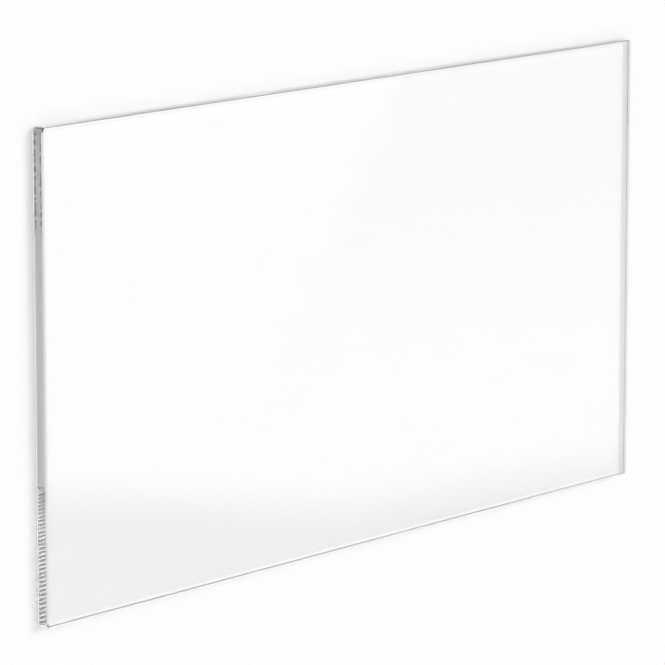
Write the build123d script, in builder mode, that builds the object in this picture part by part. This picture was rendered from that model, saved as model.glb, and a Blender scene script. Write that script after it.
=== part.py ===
import os

from build123d import *

# A clear polystyrene glazing sheet: one cut piece with eased, polished edges.
# It lies on its back face. All sizes are in millimetres.
# X runs along the length, Y across the width and Z up through the thickness.
# The origin is the middle of the back face.

# Driving dimensions
LENGTH = 580.0
WIDTH = 300.0
THICKNESS = 8.0
CORNER_RADIUS = 2.5
ARRIS_RADIUS = 1.2

# The most of the thickness that one arris may take, so that a flat cut edge
# stays between the front arris and the back one.
ARRIS_SHARE = 0.45

os.makedirs("parts", exist_ok=True)

# The blank: the rounded rectangle as cut, pulled up to the thickness of the sheet.
with BuildPart() as clear_sheet:
    with BuildSketch(Plane.XY):
        RectangleRounded(LENGTH, WIDTH, CORNER_RADIUS)
    extrude(amount=THICKNESS)

    # The arris: the whole rim of the back face and of the front face, eased by one radius.
    # It runs unbroken through the four rounded corners.
    arris = min(ARRIS_RADIUS, ARRIS_SHARE * THICKNESS)
    big_faces = clear_sheet.faces().filter_by(Axis.Z)
    fillet(big_faces.edges(), radius=arris)

clear_sheet.part.label = "clear_sheet"
export_step(clear_sheet.part, "parts/clear_sheet.step")
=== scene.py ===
import math

import bmesh
import bpy
from mathutils import Matrix, Vector


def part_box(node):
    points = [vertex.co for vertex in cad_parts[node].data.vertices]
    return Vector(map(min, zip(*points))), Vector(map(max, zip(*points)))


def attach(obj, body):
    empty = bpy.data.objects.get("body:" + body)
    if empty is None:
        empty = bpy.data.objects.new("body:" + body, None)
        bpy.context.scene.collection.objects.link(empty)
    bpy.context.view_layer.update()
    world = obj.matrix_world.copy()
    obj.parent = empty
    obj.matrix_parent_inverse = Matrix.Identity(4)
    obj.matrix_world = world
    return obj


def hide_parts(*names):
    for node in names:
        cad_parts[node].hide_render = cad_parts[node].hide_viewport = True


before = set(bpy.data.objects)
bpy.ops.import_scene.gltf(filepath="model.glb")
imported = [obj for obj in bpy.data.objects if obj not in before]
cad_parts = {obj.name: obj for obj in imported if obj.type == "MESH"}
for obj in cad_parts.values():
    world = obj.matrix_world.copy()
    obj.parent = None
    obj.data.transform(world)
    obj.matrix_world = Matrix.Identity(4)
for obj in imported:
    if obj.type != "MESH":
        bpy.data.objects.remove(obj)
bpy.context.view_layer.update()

MM = 0.001

# The sheet, in metres. Its overall size and place come from its CAD box.
SHEET_LOW, SHEET_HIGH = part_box("clear_sheet")
LENGTH, WIDTH, THICKNESS = SHEET_HIGH - SHEET_LOW
CENTRE = (SHEET_LOW + SHEET_HIGH) / 2
CORNER_RADIUS = 2.5 * MM
ARRIS_RADIUS = 1.2 * MM
CORNER_STEPS = 12
ARRIS_STEPS = 8
# A face whose normal has at least this much of one axis lies square to that axis
SQUARE = 0.999

# The plastic: water clear over its thickness, grey along its length
REFRACTIVE_INDEX = 1.59
TINT = (0.5, 0.5, 0.5)
TINT_DENSITY = 1.68

# Handling leaves hairlines, in a few patches of each face, and specks of dust
PATCH_PITCH = 110.0 * MM
HAIRLINE_LENGTH = 30.0 * MM
HAIRLINE_PITCH = 2.6 * MM
HAIRLINE_TURNS = (0.35, -0.9)
# Where the noise is cut off: a mark starts at the first value and is full at the second
HAIRLINE_CUT = (0.70, 0.73)
PATCH_CUT = (0.5, 0.62)
DUST_PITCH = 12.0 * MM
DUST_SIZE = 0.2 * MM
MARK_ROUGHNESS = 0.12
# How much hairline and how much dust each surface takes
SHEET_MARKS = (0.7, 1.0)
ARRIS_MARKS = (1.0, 0.5)

# The cutter chattered near one corner of each end: short dark nicks along both borders of the cut.
# They start within the reach, measured across the sheet from its middle, and run on to the corner.
NICK_PITCH = 2.6 * MM
NICK_REACH = (84.0 * MM, 92.0 * MM)
NICK_HALF_WIDTH = 0.85 * MM
NICK_CORE = 0.8 * NICK_HALF_WIDTH
NICK_CUT = (0.46, 0.49)
NICK_INSET = 0.4 * MM
NICK_DEPTH = 0.04 * MM
NICK_GREY = 0.18
NICK_ROUGHNESS = 0.3
# Painted shade: the cut is made a little greyer, bit by bit, towards that corner
PAINTED_SHADE_REACH = (25.0 * MM, 100.0 * MM)
PAINTED_SHADE_GREY = 0.84

# The front arris of both ends, scraped by hand: a pale frosting with fine scraper marks. Its pale colour
# also paints in the highlight along that arris
FROST_AND_HIGHLIGHT_LIGHT = (0.85, 0.85, 0.85)
FROST_AND_HIGHLIGHT_DARK = (0.74, 0.74, 0.74)
SCRAPER_PITCH = 0.9 * MM
SCRAPER_STEP = (0.35, 0.5)
SCRAPED_ROUGHNESS = 0.5

# The air left under a sheet that lies on a flat floor
AIR_GAP = 0.15 * MM
FLOOR_HALF_SIDE = 15.0
FLOOR_COLOUR = (0.97, 0.97, 0.97)
FLOOR_ROUGHNESS = 0.9
FLOOR_SPECULAR = 0.2

# The studio round the sheet: brightness by the sine of the height above the horizon
SKY_STOPS = ((0.0, 0.52), (0.4, 0.65), (0.52, 0.93), (1.0, 0.99))
# The brightest value that the curve of the sky can hold
SKY_TOP = 2.0
# A bright window, which the lower edge mirrors through the length of the sheet, and a dark gap beside
# it. The flat and the arrises of that edge turn the two into the stripes at the near end. Each is a
# range of the direction's own x, y and z, with a soft step at both ends.
WINDOW_SIDE = (0.04, 0.10, 0.44, 0.50)
WINDOW_RISE = (0.56, 0.62, 0.82, 0.88)
WINDOW_BRIGHTNESS = 3.7
GAP_SIDE = (0.50, 0.56, 0.66, 0.74)
GAP_RISE = (0.0, 0.02, 0.54, 0.60)
GAP_GREY = 0.95
AHEAD = (0.2, 0.4)
# Grey cards that the front face mirrors, placed by pixels of the photograph: each edge is a line
# and a spot on the grey side of it, with the width of the soft step across it
CARD_EDGE = ((400.0, 75.0), (305.0, 300.0), (560.0, 150.0))
CARD_EDGE_SOFT = 7.0
CARD_FOOT = ((305.0, 300.0), (629.0, 240.0), (450.0, 100.0))
CARD_FOOT_SOFT = 200.0
CARD_GREY = 0.2
SHADE_EDGES = (
    ((50.0, 494.0), (340.0, 508.0), (300.0, 620.0)),
    ((340.0, 508.0), (600.0, 464.0), (600.0, 520.0)),
)
SHADE_EDGE_SOFT = 44.0
SHADE_GREY = 0.95
CARD_REACH = (9.0, 5.5)

# The camera: where it stands, where it looks and which way is up in the picture
CAMERA_PLACE = Vector((-2.2357, 0.5117, 1.8500))
CAMERA_FORWARD = Vector((0.75588, -0.17761, -0.63016))
CAMERA_UP = Vector((0.13660, 0.98410, -0.11352))
LENS_MM = 250.62
SENSOR_MM = 36.0
PICTURE_SIDE = 665.0
CAMERA_REACH = 100.0

# Light crosses the clear sheet lengthwise by dozens of bounces
GLASS_BOUNCES = 200
FLOOR_BOUNCES = 4


def link_object(name, mesh):
    obj = bpy.data.objects.new(name, mesh)
    bpy.context.scene.collection.objects.link(obj)
    return obj


def is_upright(edge):
    return abs(edge.verts[0].co.z - edge.verts[1].co.z) > THICKNESS / 2


def round_edges(bm, edges, radius, steps):
    bmesh.ops.bevel(
        bm,
        geom=edges,
        offset=radius,
        offset_type="OFFSET",
        affect="EDGES",
        segments=steps,
        profile=0.5,
        material=-1,
        clamp_overlap=False,
    )


def sort_faces(bm):
    """Puts the faces in a fixed order, because the order that the bevel leaves can change between runs."""
    bm.verts.index_update()
    count = len(bm.verts)

    def rank(face):
        first, second, third = sorted(v.index for v in face.verts)[:3]
        return (first * count + second) * count + third

    bm.faces.sort(key=rank)
    bm.faces.index_update()


def make_sheet():
    """The sheet: a block, its four upright corners rounded, then both rims eased."""
    bm = bmesh.new()
    bmesh.ops.create_cube(bm, size=1.0)
    bmesh.ops.scale(bm, vec=(LENGTH, WIDTH, THICKNESS), verts=bm.verts)
    bmesh.ops.translate(bm, vec=CENTRE, verts=bm.verts)
    round_edges(bm, [e for e in bm.edges if is_upright(e)], CORNER_RADIUS, CORNER_STEPS)
    round_edges(bm, [e for e in bm.edges if not is_upright(e)], ARRIS_RADIUS, ARRIS_STEPS)
    bmesh.ops.recalc_face_normals(bm, faces=bm.faces)
    sort_faces(bm)
    for face in bm.faces:
        face.smooth = True
    mesh = bpy.data.meshes.new("clear_sheet_body")
    bm.to_mesh(mesh)
    bm.free()
    keep_flats_flat(mesh)
    return link_object("clear_sheet_body", mesh)


def keep_flats_flat(mesh):
    """Gives the rim of each flat face that face's own normal, so that only the roundings shade round."""
    smallest_flat = 0.5 * WIDTH * (THICKNESS - 2 * ARRIS_RADIUS)
    normals = [v.normal.copy() for v in mesh.vertices]
    for face in mesh.polygons:
        if face.area > smallest_flat:
            for index in face.vertices:
                normals[index] = face.normal.copy()
    mesh.normals_split_custom_set_from_vertices(normals)


def frost_end_arrises_and_highlight(mesh):
    """Gives the rounding between each cut end and the front face the second material, a pale frosting that
    also paints in the arris highlight.
    """
    for face in mesh.polygons:
        centre = face.center - CENTRE
        at_end = abs(centre.x) > LENGTH / 2 - ARRIS_RADIUS
        between_corners = abs(centre.y) < WIDTH / 2 - CORNER_RADIUS
        on_flat = abs(face.normal.x) > SQUARE
        if at_end and between_corners and not on_flat and centre.z > 0:
            face.material_index = 1


def add_range(nodes, links, source, low, high, to_low, to_high):
    node = nodes.new("ShaderNodeMapRange")
    links.new(source, node.inputs["Value"])
    node.inputs["From Min"].default_value = low
    node.inputs["From Max"].default_value = high
    node.inputs["To Min"].default_value = to_low
    node.inputs["To Max"].default_value = to_high
    return node.outputs["Result"]


def add_math(nodes, links, operation, first, second):
    node = nodes.new("ShaderNodeMath")
    node.operation = operation
    for socket, value in zip(node.inputs, (first, second)):
        if isinstance(value, (int, float)):
            socket.default_value = value
        else:
            links.new(value, socket)
    return node.outputs["Value"]


def add_noise(nodes, links, vector, scale, detail):
    node = nodes.new("ShaderNodeTexNoise")
    node.inputs["Scale"].default_value = scale
    node.inputs["Detail"].default_value = detail
    links.new(vector, node.inputs["Vector"])
    return node.outputs["Fac"]


def add_line_noise(nodes, links, distance, pitch):
    """Noise that varies along one direction only."""
    node = nodes.new("ShaderNodeTexNoise")
    node.noise_dimensions = "1D"
    node.inputs["Scale"].default_value = 1.0 / pitch
    node.inputs["Detail"].default_value = 1.0
    links.new(distance, node.inputs["W"])
    return node.outputs["Fac"]


def add_mapping(nodes, links, vector, scale, turn):
    node = nodes.new("ShaderNodeMapping")
    node.inputs["Scale"].default_value = scale
    node.inputs["Rotation"].default_value = (0.0, 0.0, turn)
    links.new(vector, node.inputs["Vector"])
    return node.outputs["Vector"]


def make_handling_marks():
    """A shared effect: patches of crossed hairlines and specks of dust, as a mask."""
    group = bpy.data.node_groups.new("handling_marks", "ShaderNodeTree")
    group.interface.new_socket("Vector", in_out="INPUT", socket_type="NodeSocketVector")
    group.interface.new_socket("Hairlines", in_out="INPUT", socket_type="NodeSocketFloat")
    group.interface.new_socket("Dust", in_out="INPUT", socket_type="NodeSocketFloat")
    group.interface.new_socket("Marks", in_out="OUTPUT", socket_type="NodeSocketFloat")
    nodes, links = group.nodes, group.links
    given = nodes.new("NodeGroupInput")
    result = nodes.new("NodeGroupOutput")
    place = given.outputs["Vector"]

    lines = []
    stretch = (1.0 / HAIRLINE_LENGTH, 1.0 / HAIRLINE_PITCH, 1.0 / HAIRLINE_LENGTH)
    for turn in HAIRLINE_TURNS:
        stretched = add_mapping(nodes, links, place, stretch, turn)
        crests = add_noise(nodes, links, stretched, 1.0, 1.0)
        lines.append(add_range(nodes, links, crests, *HAIRLINE_CUT, 0.0, 1.0))
    patches = add_noise(nodes, links, place, 1.0 / PATCH_PITCH, 0.0)
    patches = add_range(nodes, links, patches, *PATCH_CUT, 0.0, 1.0)
    hairlines = add_math(nodes, links, "MULTIPLY", add_math(nodes, links, "MAXIMUM", *lines), patches)
    hairlines = add_math(nodes, links, "MULTIPLY", hairlines, given.outputs["Hairlines"])

    cells = nodes.new("ShaderNodeTexVoronoi")
    cells.inputs["Scale"].default_value = 1.0 / DUST_PITCH
    links.new(place, cells.inputs["Vector"])
    speck = DUST_SIZE / DUST_PITCH
    dust = add_range(nodes, links, cells.outputs["Distance"], speck, speck / 2, 0.0, 1.0)
    dust = add_math(nodes, links, "MULTIPLY", dust, given.outputs["Dust"])
    links.new(add_math(nodes, links, "MAXIMUM", hairlines, dust), result.inputs["Marks"])


def add_marks(nodes, links, place, hairlines, dust):
    node = nodes.new("ShaderNodeGroup")
    node.node_tree = bpy.data.node_groups["handling_marks"]
    links.new(place, node.inputs["Vector"])
    node.inputs["Hairlines"].default_value = hairlines
    node.inputs["Dust"].default_value = dust
    return node.outputs["Marks"]


def add_cut_marks(nodes, links, place):
    """Two masks for the cut ends: the nicks along both borders, and a painted shade that greys the cut
    towards one corner.
    """
    split = nodes.new("ShaderNodeSeparateXYZ")
    links.new(place, split.inputs["Vector"])
    from_middle = add_math(nodes, links, "ABSOLUTE", split.outputs["X"], 0.0)
    at_end = LENGTH / 2 - ARRIS_RADIUS
    end = add_range(nodes, links, from_middle, at_end, at_end + ARRIS_RADIUS / 4, 0.0, 1.0)
    depth = add_math(nodes, links, "SUBTRACT", split.outputs["Z"], CENTRE.z)
    from_centre = add_math(nodes, links, "ABSOLUTE", depth, 0.0)
    border = add_math(nodes, links, "SUBTRACT", from_centre, THICKNESS / 2)
    border = add_math(nodes, links, "ADD", border, ARRIS_RADIUS + NICK_INSET)
    from_border = add_math(nodes, links, "ABSOLUTE", border, 0.0)
    border = add_range(nodes, links, from_border, NICK_HALF_WIDTH, NICK_CORE, 0.0, 1.0)
    reach = add_range(nodes, links, split.outputs["Y"], *NICK_REACH, 0.0, 1.0)

    # The two borders chatter apart, so each reads the noise at its own place.
    shifted = add_math(nodes, links, "ADD", split.outputs["Y"], add_math(nodes, links, "SIGN", depth, 0.0))
    dashes = add_line_noise(nodes, links, shifted, NICK_PITCH)
    dashes = add_range(nodes, links, dashes, *NICK_CUT, 0.0, 1.0)
    where = add_math(nodes, links, "MULTIPLY", end, add_math(nodes, links, "MULTIPLY", border, reach))
    nicks = add_math(nodes, links, "MULTIPLY", dashes, where)
    # Painted shade: each cut end turns greyer towards its +Y corner
    painted_end_shade = add_range(nodes, links, split.outputs["Y"], *PAINTED_SHADE_REACH, 0.0, 1.0)
    return nicks, add_math(nodes, links, "MULTIPLY", painted_end_shade, end)


def make_polystyrene():
    mat = bpy.data.materials.new("clear_polystyrene")
    mat.use_nodes = True
    nodes, links = mat.node_tree.nodes, mat.node_tree.links
    shader = nodes["Principled BSDF"]
    shader.inputs["IOR"].default_value = REFRACTIVE_INDEX
    shader.inputs["Transmission Weight"].default_value = 1.0
    place = nodes.new("ShaderNodeTexCoord").outputs["Object"]
    nicks, painted_end_shade = add_cut_marks(nodes, links, place)
    nick_grey = add_range(nodes, links, nicks, 0.0, 1.0, 1.0, NICK_GREY)
    # The painted shade greys the cut towards one corner
    painted_end_shade_colour = add_range(nodes, links, painted_end_shade, 0.0, 1.0, 1.0, PAINTED_SHADE_GREY)
    links.new(add_math(nodes, links, "MULTIPLY", nick_grey, painted_end_shade_colour), shader.inputs["Base Color"])

    marks = add_math(nodes, links, "MULTIPLY", add_marks(nodes, links, place, *SHEET_MARKS), MARK_ROUGHNESS)
    nick_roughness = add_math(nodes, links, "MULTIPLY", nicks, NICK_ROUGHNESS)
    links.new(add_math(nodes, links, "MAXIMUM", marks, nick_roughness), shader.inputs["Roughness"])
    bump = nodes.new("ShaderNodeBump")
    bump.invert = True
    bump.inputs["Distance"].default_value = NICK_DEPTH
    links.new(nicks, bump.inputs["Height"])
    links.new(bump.outputs["Normal"], shader.inputs["Normal"])

    absorb = nodes.new("ShaderNodeVolumeAbsorption")
    absorb.inputs["Color"].default_value = (*TINT, 1.0)
    absorb.inputs["Density"].default_value = TINT_DENSITY
    links.new(absorb.outputs["Volume"], nodes["Material Output"].inputs["Volume"])
    return mat


def make_arris_frost_and_highlight():
    mat = bpy.data.materials.new("arris_frost_and_highlight")
    mat.use_nodes = True
    nodes, links = mat.node_tree.nodes, mat.node_tree.links
    shader = nodes["Principled BSDF"]
    shader.inputs["IOR"].default_value = REFRACTIVE_INDEX
    place = nodes.new("ShaderNodeTexCoord").outputs["Object"]
    strokes = add_noise(nodes, links, place, 1.0 / SCRAPER_PITCH, 1.0)
    ramp = nodes.new("ShaderNodeValToRGB")
    dark, light = ramp.color_ramp.elements
    dark.position, light.position = SCRAPER_STEP
    # Pale frosting colours, which also serve as a painted highlight on the arris
    dark.color = (*FROST_AND_HIGHLIGHT_DARK, 1.0)
    light.color = (*FROST_AND_HIGHLIGHT_LIGHT, 1.0)
    links.new(strokes, ramp.inputs["Fac"])
    links.new(ramp.outputs["Color"], shader.inputs["Base Color"])
    marks = add_marks(nodes, links, place, *ARRIS_MARKS)
    rough = add_range(nodes, links, marks, 0.0, 1.0, SCRAPED_ROUGHNESS, SCRAPED_ROUGHNESS / 2)
    links.new(rough, shader.inputs["Roughness"])
    bump = nodes.new("ShaderNodeBump")
    bump.inputs["Distance"].default_value = NICK_DEPTH
    links.new(strokes, bump.inputs["Height"])
    links.new(bump.outputs["Normal"], shader.inputs["Normal"])
    return mat


def make_floor():
    bm = bmesh.new()
    bmesh.ops.create_grid(bm, x_segments=1, y_segments=1, size=FLOOR_HALF_SIDE)
    bmesh.ops.translate(bm, vec=(0.0, 0.0, SHEET_LOW.z - AIR_GAP), verts=bm.verts)
    mesh = bpy.data.meshes.new("floor")
    bm.to_mesh(mesh)
    bm.free()
    floor = link_object("floor", mesh)
    mat = bpy.data.materials.new("pale_floor")
    mat.use_nodes = True
    shader = mat.node_tree.nodes["Principled BSDF"]
    shader.inputs["Base Color"].default_value = (*FLOOR_COLOUR, 1.0)
    shader.inputs["Roughness"].default_value = FLOOR_ROUGHNESS
    shader.inputs["Specular IOR Level"].default_value = FLOOR_SPECULAR
    mesh.materials.append(mat)
    return floor


def camera_axes():
    forward = CAMERA_FORWARD.normalized()
    right = forward.cross(CAMERA_UP).normalized()
    return right, right.cross(forward), forward


def mirrored(spot):
    """The way that the front face sends the look through a spot of the picture, in pixels."""
    right, up, forward = camera_axes()
    focal = LENS_MM / SENSOR_MM * PICTURE_SIDE
    middle = PICTURE_SIDE / 2
    look = forward + right * (spot[0] - middle) / focal - up * (spot[1] - middle) / focal
    return Vector((look.x, look.y, -look.z)).normalized()


def along(nodes, links, direction, towards):
    node = nodes.new("ShaderNodeVectorMath")
    node.operation = "DOT_PRODUCT"
    links.new(direction, node.inputs[0])
    node.inputs[1].default_value = towards
    return node.outputs["Value"]


def add_side(nodes, links, direction, edge, soft):
    """1 on the marked side of an edge in the mirrored picture, 0 on the other, with a soft step between."""
    first, second, marked = [mirrored(spot) for spot in edge]
    across = first.cross(second).normalized()
    if across.dot(marked) < 0:
        across.negate()
    width = soft * SENSOR_MM / LENS_MM / PICTURE_SIDE
    return add_range(nodes, links, along(nodes, links, direction, across), -width / 2, width / 2, 0.0, 1.0)


def add_band(nodes, links, source, stops):
    """1 between the two middle stops, falling to 0 at the outer ones."""
    rise = add_range(nodes, links, source, stops[0], stops[1], 0.0, 1.0)
    fall = add_range(nodes, links, source, stops[2], stops[3], 1.0, 0.0)
    return add_math(nodes, links, "MULTIPLY", rise, fall)


def add_patch(nodes, links, split, side, rise, ahead):
    """1 inside a patch of the sky, by the sideways and upward parts of the direction."""
    across = add_band(nodes, links, split.outputs["Y"], side)
    upward = add_band(nodes, links, split.outputs["Z"], rise)
    return add_math(nodes, links, "MULTIPLY", add_math(nodes, links, "MULTIPLY", across, upward), ahead)


def make_studio():
    """The soft light all round, plain white to the camera."""
    world = bpy.data.worlds.new("studio")
    bpy.context.scene.world = world
    world.use_nodes = True
    nodes, links = world.node_tree.nodes, world.node_tree.links
    background = nodes["Background"]
    direction = nodes.new("ShaderNodeTexCoord").outputs["Generated"]
    split = nodes.new("ShaderNodeSeparateXYZ")
    links.new(direction, split.inputs["Vector"])
    ramp = nodes.new("ShaderNodeFloatCurve")
    curve = ramp.mapping.curves[0]
    ramp.mapping.clip_max_y = SKY_TOP
    for index, (place, value) in enumerate(SKY_STOPS):
        if index < 2:
            point = curve.points[index]
            point.location = (place, value / SKY_TOP)
        else:
            point = curve.points.new(place, value / SKY_TOP)
        point.handle_type = "VECTOR"
    ramp.mapping.update()
    links.new(split.outputs["Z"], ramp.inputs["Value"])
    light = add_math(nodes, links, "MULTIPLY", ramp.outputs["Value"], SKY_TOP)

    ahead = add_range(nodes, links, split.outputs["X"], *AHEAD, 0.0, 1.0)
    window = add_patch(nodes, links, split, WINDOW_SIDE, WINDOW_RISE, ahead)
    window = add_math(nodes, links, "MULTIPLY", window, WINDOW_BRIGHTNESS)
    light = add_math(nodes, links, "ADD", light, window)
    gap = add_patch(nodes, links, split, GAP_SIDE, GAP_RISE, ahead)
    gap = add_math(nodes, links, "MULTIPLY", gap, GAP_GREY)
    light = add_math(nodes, links, "MULTIPLY", light, add_math(nodes, links, "SUBTRACT", 1.0, gap))

    # The cards stand only where the front face mirrors them.
    middle = (PICTURE_SIDE / 2, PICTURE_SIDE / 2)
    mirror = along(nodes, links, direction, mirrored(middle))
    edges = [math.cos(math.radians(angle)) for angle in CARD_REACH]
    here = add_range(nodes, links, mirror, *edges, 0.0, 1.0)
    card = add_side(nodes, links, direction, CARD_EDGE, CARD_EDGE_SOFT)
    foot = add_side(nodes, links, direction, CARD_FOOT, CARD_FOOT_SOFT)
    shades = [add_side(nodes, links, direction, edge, SHADE_EDGE_SOFT) for edge in SHADE_EDGES]
    shade = add_math(nodes, links, "MAXIMUM", *shades)
    card = add_math(nodes, links, "MULTIPLY", add_math(nodes, links, "MULTIPLY", card, foot), CARD_GREY)
    shade = add_math(nodes, links, "MULTIPLY", shade, SHADE_GREY)
    grey = add_math(nodes, links, "MULTIPLY", add_math(nodes, links, "MAXIMUM", card, shade), here)
    light = add_math(nodes, links, "MULTIPLY", light, add_math(nodes, links, "SUBTRACT", 1.0, grey))

    path = nodes.new("ShaderNodeLightPath")
    strength = add_math(nodes, links, "MAXIMUM", light, path.outputs["Is Camera Ray"])
    links.new(strength, background.inputs["Strength"])
    background.inputs["Color"].default_value = (1.0, 1.0, 1.0, 1.0)


def make_camera():
    camera = bpy.data.objects.new("camera", bpy.data.cameras.new("camera"))
    bpy.context.scene.collection.objects.link(camera)
    right, up, forward = camera_axes()
    turn = Matrix((right, up, -forward)).transposed().to_4x4()
    camera.matrix_world = Matrix.Translation(CAMERA_PLACE) @ turn
    camera.data.lens = LENS_MM
    camera.data.sensor_width = SENSOR_MM
    camera.data.clip_end = CAMERA_REACH
    bpy.context.scene.camera = camera


make_handling_marks()
sheet = make_sheet()
sheet.data.materials.append(make_polystyrene())
sheet.data.materials.append(make_arris_frost_and_highlight())
frost_end_arrises_and_highlight(sheet.data)
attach(sheet, "root")
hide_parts("clear_sheet")
make_floor()
make_studio()
make_camera()

scene = bpy.context.scene
scene.view_settings.view_transform = "Standard"
scene.cycles.max_bounces = GLASS_BOUNCES
scene.cycles.glossy_bounces = GLASS_BOUNCES
scene.cycles.transmission_bounces = GLASS_BOUNCES
scene.cycles.diffuse_bounces = FLOOR_BOUNCES
scene.cycles.sample_clamp_indirect = 0.0
scene.cycles.blur_glossy = 0.0
# The noise filter reads the picture alone, which keeps the slant of the stripes a little clearer.
scene.cycles.denoising_input_passes = "RGB"
